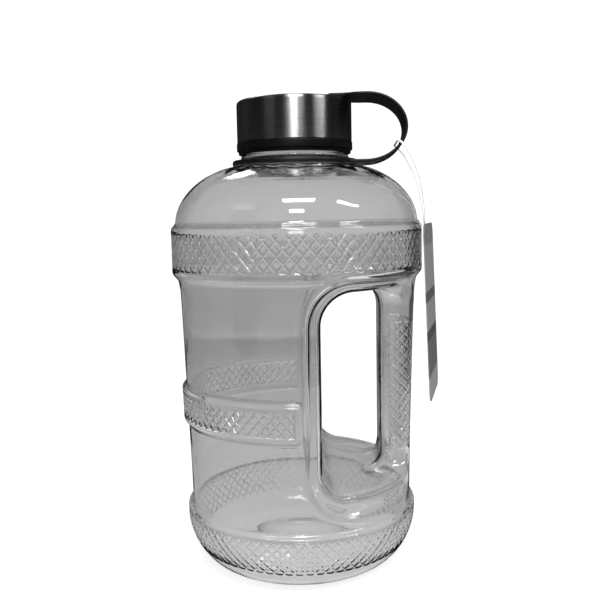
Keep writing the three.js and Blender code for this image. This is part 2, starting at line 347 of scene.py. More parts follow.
# %% The tag's card
def tag_board():
    """Coated card printed in plain grey bands, with no lettering."""
    material, tree = new_material("tag_board")
    place = add_node(tree, "ShaderNodeTexCoord")
    split = add_node(tree, "ShaderNodeSeparateXYZ", links={"Vector": place.outputs["Object"]})
    low, high = mm_box("swing_tag")
    share = add_node(tree, "ShaderNodeMapRange",
                     {"From Min": low[2] * MM, "From Max": high[2] * MM},
                     {"Value": split.outputs["Z"]})
    bands = add_node(tree, "ShaderNodeValToRGB", links={"Fac": share.outputs[0]})
    ramp = bands.color_ramp
    ramp.interpolation = "CONSTANT"
    ramp.elements[0].color = linear("#97989B")
    ramp.elements[1].position = 0.14
    ramp.elements[1].color = linear("#6C6D70")
    for spot, colour in ((0.34, "#55565A"), (0.4, "#8D8E91"), (0.56, "#606165"), (0.62, "#8D8E91"),
                         (0.88, "#7A7B7E")):
        stop = ramp.elements.new(spot)
        stop.color = linear(colour)
    fibre = add_node(tree, "ShaderNodeTexNoise", {"Scale": 1 / (0.8 * MM), "Detail": 4.0},
                     {"Vector": place.outputs["Object"]})
    faded = add_node(tree, "ShaderNodeMix", {"data_type": "RGBA", "blend_type": "MULTIPLY"})
    faded.inputs[0].default_value = 0.35
    tree.links.new(bands.outputs[0], faded.inputs[6])
    tree.links.new(fibre.outputs[1], faded.inputs[7])
    bump = add_node(tree, "ShaderNodeBump", {"Strength": 0.3, "Distance": 0.03 * MM},
                    {"Height": fibre.outputs[0]})
    surface = add_node(tree, "ShaderNodeBsdfPrincipled", {"Roughness": 0.42, "IOR": 1.5},
                       {"Base Color": faded.outputs[2], "Normal": bump.outputs[0]})
    finish_material(tree, surface)
    return material


# %% Make the materials
polypropylene, _ = moulded("black_polypropylene", "#040405", "#090909", 1.49, 0.34, 0.5, 0.03)
elastomer, _ = moulded("black_elastomer", "#030304", "#080809", 1.50, 0.48, 0.35, 0.03)
silicone, silicone_skin = moulded("silicone", "#C9C8C2", "#DAD9D4", 1.41, 0.5, 0.8, 0.02)
silicone_skin.inputs["Transmission Weight"].default_value = 0.3
cotton, _ = moulded("cotton_thread", "#EBEAE6", "#FAF9F6", 1.53, 0.8, 0.3, 0.12)
board = tag_board()
print("materials:", [m.name for m in bpy.data.materials])

# %% [markdown]
# ## The jug as a field of distances
#
# A blown bottle has no sharp edge: the handle's rim, the grip's feet and the shoulder
# all run into each other. So the jug is written as a signed distance, negative in the
# plastic, and its pieces are joined with soft maxima and minima whose size is the
# fillet. The turned part comes from one profile, kept as a small table that is blurred
# by 0.7 mm to round its corners as the mould does. The inside is the same shape, 1.8 mm
# further in, with the slight folds that a blown skin has where it leaves the stiff neck.

# %% Driving sizes, in millimetres
WALL = 1.8
BASE_RING = {"inner": 36.0, "outer": 45.6, "push_up": 6.0}
FOOT = {"height": 24.4, "exponent": 1.67}
LOWER_BAND = {"radius": 61.8, "low": 9.0, "high": 29.6}
GROOVE = {"radius": 59.2, "low": 31.2, "high": 33.6}
BODY = {"low_radius": 59.4, "low": 46.0, "high_radius": 62.1, "high": 144.0}
UPPER_BAND = {"radius": 66.0, "low": 153.6, "high": 178.6}
DOME = {"radius": 63.6, "low": 179.6, "high": 208.9, "exponent": 1.85}
NECK = {"root": 26.0, "waist": 26.6, "bead": 28.5, "bead_low": 210.9, "bead_high": 213.9}
BORE = 24.0
LIP = jug_high[2]
THREAD = {"pitch": 6.0, "turns": 1.25, "start": 219.0, "bead": 1.1}


def quarter(cx, cz, rx, rz, exponent, steps=16):
    """A superellipse quarter from (cx + rx, cz) to (cx, cz + rz)."""
    a = np.linspace(0, math.pi / 2, steps + 1)
    power = 2 / exponent
    return np.column_stack([cx + rx * np.cos(a).clip(0) ** power, cz + rz * np.sin(a) ** power])


def jug_profile():
    """The outside in (radius, height), from the centre of the base to the lip."""
    ring, foot, dome = BASE_RING, FOOT, DOME
    t = np.linspace(0, 1, 9)
    dish = np.column_stack([ring["inner"] * t, ring["push_up"] * (1 - t**2)])
    across = LOWER_BAND["radius"] - ring["outer"]
    heel = quarter(ring["outer"], 0, across, foot["height"], foot["exponent"])[::-1]
    heel[:, 1] = foot["height"] - heel[:, 1]
    shoulder = quarter(NECK["waist"], dome["low"], dome["radius"] - NECK["waist"],
                       dome["high"] - dome["low"], dome["exponent"])
    rest = [
        (LOWER_BAND["radius"], LOWER_BAND["high"]), (GROOVE["radius"], GROOVE["low"]),
        (GROOVE["radius"], GROOVE["high"]), (BODY["low_radius"], BODY["low"]),
        (BODY["high_radius"], BODY["high"]),
        (UPPER_BAND["radius"] - 3.0, UPPER_BAND["low"] - 3.6),
        (UPPER_BAND["radius"], UPPER_BAND["low"]), (UPPER_BAND["radius"], UPPER_BAND["high"] - 1.6),
    ]
    neck = [
        (NECK["waist"], NECK["bead_low"]), (NECK["bead"], NECK["bead_low"]),
        (NECK["bead"], NECK["bead_high"]), (NECK["root"], NECK["bead_high"]),
        (NECK["root"], LIP), (0, LIP),
    ]
    return np.vstack([dish, heel, rest, shoulder, neck])


print("profile has", len(jug_profile()), "points and is", LIP, "mm high")

# %% The profile as a table of distances
CELL = 0.25
TABLE_LOW = np.array([-6.0, -6.0])
TABLE_SIZE = (320, 1000)


def segment_distance(p, a, b):
    along = b - a
    t = (((p - a) @ along) / max(along @ along, 1e-9)).clip(0, 1)
    return np.linalg.norm(p - a - t[..., None] * along, axis=-1)


def blur(table, passes):
    """Softens by the kernel 1-2-1 both ways, so sigma is sqrt(passes / 2) cells."""
    for _ in range(passes):
        for axis in (0, 1):
            padded = np.pad(table, [(1, 1) if i == axis else (0, 0) for i in (0, 1)], "edge")
            low = np.take(padded, range(table.shape[axis]), axis)
            high = np.take(padded, range(2, table.shape[axis] + 2), axis)
            table = (low + 2 * table + high) / 4
    return table


def profile_table(points, passes):
    r = np.abs(TABLE_LOW[0] + CELL * np.arange(TABLE_SIZE[0]))
    z = TABLE_LOW[1] + CELL * np.arange(TABLE_SIZE[1])
    grid = np.stack(np.meshgrid(r, z, indexing="ij"), -1)
    distance = np.full(grid.shape[:2], 1e9)
    inside = np.zeros(grid.shape[:2], bool)
    closed = np.vstack([points, [0, points[0][1]]])
    for a, b in zip(closed, closed[1:]):
        if a[0] > 0 or b[0] > 0:
            distance = np.minimum(distance, segment_distance(grid, a, b))
        if a[1] != b[1]:
            crosses = (a[1] > grid[..., 1]) != (b[1] > grid[..., 1])
            at = a[0] + (grid[..., 1] - a[1]) * (b[0] - a[0]) / (b[1] - a[1])
            inside ^= crosses & (grid[..., 0] < at)
    return blur(np.where(inside, -distance, distance), passes)


def look_up(table, r, z):
    """Bilinear reading of a table at radius r and height z."""
    u = ((r - TABLE_LOW[0]) / CELL).clip(0, TABLE_SIZE[0] - 1.001)
    v = ((z - TABLE_LOW[1]) / CELL).clip(0, TABLE_SIZE[1] - 1.001)
    i, j = u.astype(np.int32), v.astype(np.int32)
    fu, fv = u - i, v - j
    low = table[i, j] * (1 - fu) + table[i + 1, j] * fu
    high = table[i, j + 1] * (1 - fu) + table[i + 1, j + 1] * fu
    return low * (1 - fv) + high * fv


outer_table = profile_table(jug_profile(), 14)
inner_table = blur(outer_table, 40)
print("deepest point of the turned solid, mm:", round(float(outer_table.min()), 1))

# %% [markdown]
# ## The handle
#
# The finger hole goes straight through, front to back, and is open to the right. Left
# alone it would leave no handle: a hollow column at the right is put back, and it is
# the grip. On the real jug both are one closed mould: the column is blown with the
# body, so water runs through it. Round the hole the skin turns in over a wide lip.

# %% Soft joins, the hole and the grip
OPENING = {"left": 10.7, "low": 47.0, "high": 146.0, "top_corner": 16.0, "low_corner": 12.5}
LEDGE = {"left": 6.3, "low": 39.5, "high": 150.2, "top_corner": 20.0, "low_corner": 19.0}
LEDGE_DEPTH = 4.2
HOLE_ROUND = 3.0  # fillets at the hole's edge, at the ledge's foot and along its brow
LEDGE_FOOT = 3.5
LEDGE_BROW = 5.0
TRIM_ROUND = 0.6  # where the grip is trimmed to the turned body
GRIP = {"inner": 43.0, "half_width": 16.0, "corner": 8.0}
GRIP_ROUND = 9.0
GRIP_FOOT = 13.0  # fillet where the grip leaves the body


def soft_max(a, b, size):
    """The larger of two distances, with a fillet of about this size where they meet."""
    h = (size - np.abs(a - b)).clip(0) / size
    return np.maximum(a, b) + h * h * size / 4


def soft_min(a, b, size):
    return -soft_max(-a, -b, size)


def rounded_box(p, q, corner):
    """Distance to a corner of two half planes p < 0 and q < 0, rounded by corner."""
    p, q = p + corner, q + corner
    return np.hypot(p.clip(0), q.clip(0)) + np.minimum(np.maximum(p, q), 0) - corner


def hole_distance(x, z, hole):
    """Distance to a hole that is open to the right, with round corners at its left."""
    middle = (hole["low"] + hole["high"]) / 2
    half = (hole["high"] - hole["low"]) / 2
    corner = np.where(z > middle, hole["top_corner"], hole["low_corner"])
    return rounded_box(hole["left"] - x, np.abs(z - middle) - half, corner)


def grip_distance(x, y):
    return rounded_box(GRIP["inner"] - x, np.abs(y) - GRIP["half_width"], GRIP["corner"])


def bottle_field(x, y, z, table):
    """The turned bottle with its handle, no neck details, as a distance."""
    r = np.hypot(x, y)
    turned = look_up(table, r, z)
    core = (BODY["low_radius"] + BODY["high_radius"]) / 2 - LEDGE_DEPTH
    ledge = soft_max(hole_distance(x, z, LEDGE), core - r, LEDGE_FOOT)
    cut = soft_max(turned, -ledge, LEDGE_BROW)
    cut = soft_max(cut, -hole_distance(x, z, OPENING), HOLE_ROUND)
    grip = soft_max(turned, grip_distance(x, y), GRIP_ROUND)
    return soft_max(soft_min(cut, grip, GRIP_FOOT), turned, TRIM_ROUND)


print("finger hole, mm:", GRIP["inner"] - OPENING["left"], "wide and",
      OPENING["high"] - OPENING["low"], "high")

# %% The screw thread, the inside and the whole skin
THREAD_ROUND = 0.6
LIP_ROUND = 0.5
CEILING = DOME["high"] - 2.6  # the hollow ends here, and the bore goes on up
BORE_ROUND = 3.0
FOLD = {"count": 22, "climb": 1.6, "depth": 0.24, "low": 201.5, "high": 206.0}


def thread_distance(x, y, z):
    """Distance to the bead that winds up the neck, one pitch a turn."""
    share = (np.arctan2(y, x) / (2 * math.pi)) % 1
    nearest = np.full(np.shape(x), 1e9)
    for turn in (-1, 0, 1):
        at = (share + turn).clip(0, THREAD["turns"])
        angle = at * 2 * math.pi
        hx, hy = NECK["root"] * np.cos(angle), NECK["root"] * np.sin(angle)
        hz = THREAD["start"] + at * THREAD["pitch"]
        gap = np.sqrt((x - hx) ** 2 + (y - hy) ** 2 + (z - hz) ** 2)
        nearest = np.minimum(nearest, gap)
    return nearest - THREAD["bead"]


def outside_field(x, y, z):
    body = bottle_field(x, y, z, outer_table)
    near_neck = z > NECK["bead_high"] - 2
    body[near_neck] = soft_min(
        body[near_neck],
        thread_distance(x[near_neck], y[near_neck], z[near_neck]), THREAD_ROUND)
    return body


def smooth_step(x, low, high):
    t = ((x - low) / (high - low)).clip(0, 1)
    return t * t * (3 - 2 * t)


def inside_field(x, y, z):
    """The hollow: the skin's thickness inside the bottle, and the bore of the neck."""
    hollow = bottle_field(x, y, z, inner_table) + WALL
    angle = np.arctan2(y, x)
    waves = np.sin(FOLD["count"] * angle + 1.5 * np.sin(3 * angle) + z / FOLD["climb"])
    hollow = hollow + FOLD["depth"] * waves * smooth_step(z, FOLD["low"], FOLD["high"])
    hollow = soft_max(hollow, z - CEILING, BORE_ROUND)
    bore = np.maximum(np.hypot(x, y) - BORE, DOME["low"] - z)
    return soft_min(hollow, bore, BORE_ROUND)


def skin_field(x, y, z):
    return soft_max(outside_field(x, y, z), -inside_field(x, y, z), LIP_ROUND)


print("wall, mm:", WALL, "and thread, turns:", THREAD["turns"])

# %% [markdown]
# ## From the field to a mesh
#
# Surface nets turn the field into a skin of quads: a point in every cell that the
# surface crosses, joined across every grid edge that it crosses. The points are then
# evened out and slid along the field's slope until they lie on the surface.

# %% Surface nets
CORNERS = [(0, 0, 0), (1, 0, 0), (0, 1, 0), (1, 1, 0), (0, 0, 1), (1, 0, 1), (0, 1, 1), (1, 1, 1)]
EDGES = [(a, b) for a in range(8) for b in range(a + 1, 8)
         if sum(abs(p - q) for p, q in zip(CORNERS[a], CORNERS[b])) == 1]


def sample(field, low, high, step):
    axes = [np.arange(a, b + step, step) for a, b in zip(low, high)]
    values = np.empty([len(a) for a in axes], np.float32)
    for k, height in enumerate(axes[2]):
        x, y = np.meshgrid(axes[0], axes[1], indexing="ij")
        values[:, :, k] = field(x, y, np.full(x.shape, height))
    return values


def surface_nets(values, low, step):
    """Points and quads of the surface where the values change sign."""
    inside = values < 0
    shape = tuple(n - 1 for n in values.shape)

    def corner(array, c):
        return array[tuple(slice(o, o + n) for o, n in zip(c, shape))]

    count = sum(corner(inside, c).astype(np.int8) for c in CORNERS)
    cells = np.argwhere((count > 0) & (count < 8))
    index = np.full(shape, -1, np.int32)
    index[tuple(cells.T)] = np.arange(len(cells))
    found = [values[tuple((cells + c).T)] for c in CORNERS]
    total, hits = np.zeros((len(cells), 3)), np.zeros(len(cells))
    for a, b in EDGES:
        crossed = (found[a] < 0) != (found[b] < 0)
        t = np.where(crossed, found[a] / np.where(crossed, found[a] - found[b], 1), 0)
        start, end = np.array(CORNERS[a], float), np.array(CORNERS[b], float)
        total += crossed[:, None] * (start + t[:, None] * (end - start))
        hits += crossed
    points = np.array(low) + step * (cells + total / hits[:, None])
    quads = []
    for axis in range(3):
        u, v = (axis + 1) % 3, (axis + 2) % 3
        ahead = np.roll(inside, -1, axis)
        change = inside != ahead
        for side in range(3):
            edge = [slice(None)] * 3
            edge[side] = -1
            change[tuple(edge)] = False
            if side != axis:
                edge[side] = 0
                change[tuple(edge)] = False
        at = np.argwhere(change)
        du, dv = np.eye(3, dtype=int)[u], np.eye(3, dtype=int)[v]
        ring = [index[tuple((at - shift).T)] for shift in (0 * du, du, du + dv, dv)]
        ring = np.stack(ring, 1)
        out = inside[tuple(at.T)]
        quads.append(np.where(out[:, None], ring, ring[:, ::-1]))
    return points, np.vstack(quads)


print("a cell has", len(CORNERS), "corners and", len(EDGES), "edges")

# %% Slide the points on to the surface
def slope(field, p, reach=0.2):
    """The field's value and its slope along x, y and z at each point."""
    value = field(p[:, 0], p[:, 1], p[:, 2])
    parts = []
    for axis in range(3):
        shift = np.eye(3)[axis] * reach
        a, b = p + shift, p - shift
        parts.append(field(a[:, 0], a[:, 1], a[:, 2]) - field(b[:, 0], b[:, 1], b[:, 2]))
    steep = np.stack(parts, 1) / (2 * reach)
    return value, steep


LONGEST_MOVE = 0.6
FLATTEST = 0.05  # a smaller slope squared would throw a point far away


def settle(field, points, rounds):
    """Slides points along the slope on to the surface."""
    for _ in range(rounds):
        value, steep = slope(field, points)
        size = (steep**2).sum(1).clip(FLATTEST)
        points = points - (value / size).clip(-LONGEST_MOVE, LONGEST_MOVE)[:, None] * steep
    return points


def even_out(points, quads, share=0.5):
    """Moves every point towards the mean of its neighbours."""
    total, count = np.zeros_like(points), np.zeros(len(points))
    for a, b in ((0, 1), (1, 2), (2, 3), (3, 0)):
        for p, q in ((a, b), (b, a)):
            np.add.at(total, quads[:, p], points[quads[:, q]])
            np.add.at(count, quads[:, p], 1)
    return points + share * (total / count[:, None] - points)


def net_mesh(field, low, high, step, rounds=2):
    points, quads = surface_nets(sample(field, low, high, step), low, step)
    for _ in range(rounds):
        points = settle(field, even_out(points, quads), 1)
    points = settle(field, points, 2)
    print("net of", len(points), "points and", len(quads), "quads")
    return points, quads


# %% Net the jug
JUG_STEP = 1.0  # the wall is 1.8 mm, so no cell meets both of its sides
JUG_LOW = (-68.0, -68.0, -2.0)
JUG_HIGH = (68.0, 68.0, 236.0)
jug_points, jug_quads = net_mesh(skin_field, JUG_LOW, JUG_HIGH, JUG_STEP)

# %% [markdown]
# ## The diamond bands
#
# Three bands of raised diamond lattice give a wet hand a hold: one round the shoulder,
# one half way down and one above the base, and a fourth patch on the grip. The mould
# is cut with two families of slanting grooves, so each ridge is a narrow line, a little
# under a millimetre wide. Here a band is a field of its own: how far a point of the skin moves.
# It never rises over the band's own radius, because the valleys are what is sunk.

# %% The lattice and its frames
RIDGE = 0.38  # half width of a ridge


def lattice(u, v, width, height):
    """1 on the ridges of a diamond lattice and 0 between them."""
    scale = 1 / math.hypot(1 / width, 1 / height)
    ridge = 0
    for sign in (1, -1):
        phase = u / width + sign * v / height
        away = np.abs(phase - np.round(phase)) * scale
        ridge = np.maximum(ridge, np.exp(-((away / RIDGE) ** 2)))
    return ridge


def inside_panel(u, v, half_u, half_v, corner):
    """Distance inside a rounded rectangle centred at 0, positive inside."""
    return -rounded_box(np.abs(u) - half_u, np.abs(v) - half_v, corner)


def plain_inside(v, low, high):
    return np.minimum(v - low, high - v)


print("a ridge is", 2 * RIDGE, "mm wide")

# %% Where the panels lie
MIDDLE = {"rise": 2.3, "low": 74.5, "high": 96.5, "end_x": 2.5, "corner": 5.0,
          "flank": 3.2, "frame": 1.3}
UPPER_PANEL = {"low": 156.0, "high": 174.8, "width": 6.1, "height": 7.3, "depth": 0.5}
MIDDLE_PANEL = {"width": 5.4, "height": 5.7, "depth": 0.75}
LOWER_PANEL = {"low": 10.0, "high": 28.6, "width": 5.3, "height": 5.6, "depth": 0.45}
UPPER_PAST, MIDDLE_PAST, LOWER_PAST = 61.0, 56.0, 50.0  # a panel's skin lies past this radius
PANEL_CORNER = 3.0
BED_EDGE = 0.9
GRIP_PANEL = {"low": 58.0, "high": 127.0, "half": 25.0, "width": 5.0, "height": 5.6,
              "depth": 0.5}
GRIP_CENTRE = 50.0
GRIP_RADIUS = 14.0  # of the round that the grip's lattice is wrapped on


def whole_width(width, radius):
    """The diamond's width made to go round a whole number of times."""
    around = 2 * math.pi * radius
    return around / round(around / width)


def middle_rise(x, y, z):
    """The middle band's smooth step out of the body, and the distance inside its panel."""
    arc = np.arctan2(y, -x) * UPPER_BAND["radius"]
    end = (math.pi / 2) * UPPER_BAND["radius"] + MIDDLE["end_x"]
    centre = (MIDDLE["low"] + MIDDLE["high"]) / 2
    half = (MIDDLE["high"] - MIDDLE["low"]) / 2
    deep = inside_panel(arc, z - centre, end, half, MIDDLE["corner"])
    outside = np.hypot(x, y) > BODY["low_radius"] - 6
    rise = np.where(outside, MIDDLE["rise"] * smooth_step(deep, 0, MIDDLE["flank"]), 0)
    return rise, deep, arc


def valleys(x, y, z):
    """How far the lattice panels sink the outer skin, in millimetres."""
    r, angle = np.hypot(x, y), np.arctan2(y, x)
    sunk = np.zeros(len(x))
    _, deep, arc = middle_rise(x, y, z)
    panels = [
        (UPPER_PANEL, plain_inside(z, UPPER_PANEL["low"], UPPER_PANEL["high"]),
         angle * UPPER_BAND["radius"], UPPER_BAND["radius"], r > UPPER_PAST),
        (LOWER_PANEL, plain_inside(z, LOWER_PANEL["low"], LOWER_PANEL["high"]),
         angle * LOWER_BAND["radius"], LOWER_BAND["radius"], r > LOWER_PAST),
        (MIDDLE_PANEL, deep - MIDDLE["flank"] - MIDDLE["frame"], arc, UPPER_BAND["radius"],
         r > MIDDLE_PAST),
    ]
    middle = (GRIP_PANEL["low"] + GRIP_PANEL["high"]) / 2
    tall = (GRIP_PANEL["high"] - GRIP_PANEL["low"]) / 2
    wrapped = np.arctan2(y, x - GRIP_CENTRE) * GRIP_RADIUS
    panels.append((GRIP_PANEL, inside_panel(wrapped, z - middle, GRIP_PANEL["half"], tall,
                                            PANEL_CORNER),
                   wrapped, None, x > GRIP["inner"] + 1))
    for panel, inside, u, radius, here in panels:
        width = whole_width(panel["width"], radius) if radius else panel["width"]
        bed = smooth_step(inside, 0, BED_EDGE) * here
        valley = 1 - lattice(u, z, width, panel["height"])
        sunk = np.maximum(sunk, bed * panel["depth"] * valley)
    return sunk


print("diamonds round the shoulder:",
      round(2 * math.pi * UPPER_BAND["radius"] / UPPER_PANEL["width"]))

# %% Cut the lattice into the skin
CUTS = 2  # each quad of a band becomes three by three
QUAD_ON_SKIN = 0.4  # a quad this near the outer surface belongs to it
POINT_ON_SKIN = 0.3
# the fine mesh lies between these heights, a little past each panel
FINE = {"upper": (153, 178), "middle": (73, 98), "lower": (8, 31), "grip": (56, 129)}
MIDDLE_FINE = {"to_x": 6, "past": 57}
GRIP_FINE = {"from_x": GRIP["inner"] + 1, "half": 19}


def refine(points, quads, wanted, cuts):
    """Splits the wanted quads into finer ones, with triangles round their border."""
    mesh = bpy.data.meshes.new("coarse")
    mesh.from_pydata(points, [], quads.tolist())
    work = bmesh.new()
    work.from_mesh(mesh)
    work.faces.ensure_lookup_table()
    edges = {e for i in np.flatnonzero(wanted) for e in work.faces[int(i)].edges}
    bmesh.ops.subdivide_edges(work, edges=list(edges), cuts=cuts, use_grid_fill=True)
    bmesh.ops.triangulate(work, faces=[f for f in work.faces if len(f.verts) > 4])
    work.to_mesh(mesh)
    work.free()
    return mesh


def mesh_points(mesh):
    flat = np.empty(len(mesh.vertices) * 3, np.float32)
    mesh.vertices.foreach_get("co", flat)
    return flat.reshape(-1, 3).astype(float)


def between(z, heights):
    return (z > heights[0]) & (z < heights[1])


def make_jug():
    centre = jug_points[jug_quads].mean(1)
    x, y, z = centre.T
    r = np.hypot(x, y)
    outer = np.abs(outside_field(x, y, z)) < QUAD_ON_SKIN
    bands = between(z, FINE["upper"]) & (r > UPPER_PAST)
    bands |= between(z, FINE["lower"]) & (r > LOWER_PAST)
    bands |= between(z, FINE["middle"]) & (x < MIDDLE_FINE["to_x"]) & (r > MIDDLE_FINE["past"])
    bands |= between(z, FINE["grip"]) & (x > GRIP_FINE["from_x"]) & (
        np.abs(y) < GRIP_FINE["half"])
    mesh = refine(jug_points, jug_quads, outer & bands, CUTS)
    points = settle(skin_field, mesh_points(mesh), 2)
    _, steep = slope(skin_field, points)
    out = steep / np.linalg.norm(steep, axis=1)[:, None]
    x, y, z = points.T
    on_outside = np.abs(outside_field(x, y, z)) < POINT_ON_SKIN
    rise, _, _ = middle_rise(x, y, z)
    move = np.where(on_outside, rise - valleys(x, y, z), -rise)
    points = points + out * move[:, None]
    mesh.vertices.foreach_set("co", (points * MM).astype(np.float32).ravel())
    mesh.polygons.foreach_set("use_smooth", np.ones(len(mesh.polygons), bool))
    mesh.update()
    jug = bpy.data.objects.new("jug", mesh)
    bpy.context.scene.collection.objects.link(jug)
    print("jug:", len(mesh.polygons), "faces; corners, mm:", points.min(0).round(2),
          points.max(0).round(2))
    return jug


jug = finish_piece(make_jug(), copolyester, "clear_copolyester", "jug", "jug_body")

# %% [markdown]
# ## The screw cap
#
# A moulded inner cap carries the thread and shows as the black two-step ring under the
# steel. The steel shell is drawn over it like a cup, and its edge is rolled to a 3.5 mm
# radius. Both are turned shapes: a profile with its corners rounded, spun round the axis.

# %% Turned pieces
def fillet(corners, radii, steps=5):
    """A closed profile whose corners are rounded, each by its own radius."""
    corners = np.array(corners, float)
    line = []
    for i, radius in enumerate(radii):
        here, before, after = corners[i], corners[i - 1], corners[(i + 1) % len(corners)]
        a, b = before - here, after - here
        la, lb = np.linalg.norm(a), np.linalg.norm(b)
        a, b = a / la, b / lb
        half = math.acos(float(np.clip(a @ b, -1, 1))) / 2
        reach = min(radius / max(math.tan(half), 1e-6), 0.49 * la, 0.49 * lb)
        if radius <= 0 or half > 1.55:
            line.append(here)
            continue
        start, end = here + a * reach, here + b * reach
        for t in np.linspace(0, 1, steps + 1):
            line.append((1 - t) ** 2 * start + 2 * t * (1 - t) * here + t**2 * end)
    return np.array(line)


def spin(name, profile, around=180):
    """A closed profile of (radius, height) spun round Z. Points on the axis are merged."""
    angle = np.linspace(0, 2 * math.pi, around, endpoint=False)
    r, z = profile[:, 0], profile[:, 1]
    x, y = np.outer(np.cos(angle), r), np.outer(np.sin(angle), r)
    points = np.stack([x, y, np.broadcast_to(z, x.shape)], -1).reshape(-1, 3)
    n, faces = len(profile), []
    for i in range(around):
        for j in range(n):
            a, b = i * n + j, i * n + (j + 1) % n
            c, d = (i + 1) % around * n + (j + 1) % n, (i + 1) % around * n + j
            faces.append((a, d, c, b))
    piece = mesh_object(name, points, faces)
    work = bmesh.new()
    work.from_mesh(piece.data)
    bmesh.ops.remove_doubles(work, verts=work.verts, dist=0.005 * MM)
    bmesh.ops.recalc_face_normals(work, faces=work.faces)
    for face in work.faces:
        face.smooth = True
    work.to_mesh(piece.data)
    work.free()
    return piece


print("a 10 mm square with 2 mm corners has",
      len(fillet([(0, 0), (10, 0), (10, 10), (0, 10)], [2] * 4)), "points")

# %% A bead along a path
def bead_round(name, path, radius, around=10):
    """A bead that follows a path of points, closed at both ends."""
    path = np.asarray(path, float)
    ahead = np.gradient(path, axis=0)
    ahead /= np.linalg.norm(ahead, axis=1)[:, None]
    side = np.cross(ahead, [0, 0, 1])
    side /= np.linalg.norm(side, axis=1)[:, None]
    up = np.cross(side, ahead)
    taper = np.minimum(1, np.minimum(np.arange(len(path)), np.arange(len(path))[::-1]) / 5 + 0.15)
    points = [p + radius * k * (math.cos(a) * s + math.sin(a) * u)
              for p, s, u, k in zip(path, side, up, taper)
              for a in np.linspace(0, 2 * math.pi, around, endpoint=False)]
    faces = [(i * around + j, (i + 1) * around + j, (i + 1) * around + (j + 1) % around,
              i * around + (j + 1) % around)
             for i in range(len(path) - 1) for j in range(around)]
    faces += [tuple(range(around)), tuple(range(len(points) - 1, len(points) - around - 1, -1))]
    return mesh_object(name, points, faces)


# %% The steel shell
SHEET = 0.6
SHELL = {"radius": shell_high[0], "low": shell_low[2], "top": shell_high[2], "edge": 3.5,
         "rim": 25.5}


def make_shell():
    r, low, top = SHELL["radius"], SHELL["low"], SHELL["top"]
    profile = fillet(
        [(r, low), (r, top), (SHELL["rim"], top), (SHELL["rim"], top - SHEET),
         (r - SHEET, top - SHEET), (r - SHEET, low)],
        [0.25, SHELL["edge"], 0.25, 0.25, SHELL["edge"] - SHEET, 0.25], 8)
    return spin("cap_steel_shell", profile, 240)


finish_piece(make_shell(), stainless, "brushed_stainless", "cap", "cap_shell")

# %% The inner cap with its thread, the gasket and the stud
GAP = 0.3
INNER = {"bore": 27.6, "step": 0.9, "step_high": 1.6, "button_hole": 5.4, "roof": 2.5}
GASKET_WIDTH = 3.7
STUD = {"stem": 5.1, "head": 1.6, "rim": 0.9, "crown": 2.0}


def make_inner_cap():
    low, top = inner_low[2], inner_high[2]
    r, bore, hole = inner_high[0], INNER["bore"], INNER["button_hole"]
    lip, step = r - INNER["step"], low + INNER["step_high"]
    core = SHELL["radius"] - SHEET - GAP
    under = top - INNER["roof"]
    profile = fillet(
        [(bore, low), (lip, low), (lip, step), (r, step + GAP), (r, SHELL["low"] - GAP),
         (core, SHELL["low"] - GAP), (core, top - 1.6), (SHELL["rim"], top), (hole, top),
         (hole, under), (bore, under)],
        [0.4, 0.5, 0.2, 0.4, 0.3, 0.15, 0.8, 0.5, 0.3, 0.3, 0.6])
    ring = spin("inner_cap", profile, 200)
    angle = np.linspace(0, THREAD["turns"] * 2 * math.pi, 90)
    start = THREAD["start"] - THREAD["pitch"] / 2
    path = np.column_stack([bore * np.cos(angle), bore * np.sin(angle),
                            start + angle / (2 * math.pi) * THREAD["pitch"]])
    bead = bead_round("inner_cap_thread", path, THREAD["bead"])
    return ring, bead


inner_cap, cap_thread = make_inner_cap()
finish_piece(inner_cap, polypropylene, "black_polypropylene", "cap", "cap_inner")
finish_piece(cap_thread, polypropylene, "black_polypropylene", "cap")

gasket_ring = spin("gasket_ring", fillet(
    [(gasket_high[0] - GASKET_WIDTH, gasket_low[2]), (gasket_high[0], gasket_low[2]),
     (gasket_high[0], gasket_high[2]), (gasket_high[0] - GASKET_WIDTH, gasket_high[2])],
    [0.7, 0.7, 0.7, 0.7]), 120)
finish_piece(gasket_ring, silicone, "silicone", "gasket", "cap_gasket")


def make_stud():
    low, top, head = stud_low[2], stud_high[2], stud_high[0]
    under = top - STUD["head"]
    return spin("strap_button", fillet(
        [(0, low), (STUD["stem"], low), (STUD["stem"], under), (head, under),
         (head, top - STUD["rim"]), (head - STUD["crown"], top), (0, top)],
        [0, 0.5, 0.4, 0.3, 0.5, 1.5, 0]), 96)


finish_piece(make_stud(), polypropylene, "black_polypropylene", "cap", "strap_stud")

# %% [markdown]
# ## The carry strap
#
# The strap is one moulding in a thermoplastic elastomer: a ring round the neck, a flat
# bow that a finger hooks under, and an eye that snaps over the cap's button. It is soft
# enough to bend, so it comes as a sheet of even thickness that swells where the bow
# leaves the ring. It is netted from a field like the jug.

# %% The strap's field
STRAP = {"thick": 1.5, "half": 15.5, "edge": 0.6}
TONGUE = {"half": 13.0, "from_x": 34.0, "to_x": 26.0}  # the strap narrows to it between these
COLLAR = {"inner": 27.2, "outer": collar_high[0], "edge": 0.5}
LIP_BEAD = 1.35  # half size of the bead round the collar's edge
LIP_LIFT = 0.3
STRAP_JOINS = {"eye": 3.0, "ring": 1.5, "lip": 0.8}
BOW = {"root": 24.0, "centre": 37.5, "reach": 20.0, "low": 209.65, "high": 242.9}
EYE = {"radius": 24.4, "bore": 5.6, "ramp_start": 13.0, "ramp_end": 19.4}


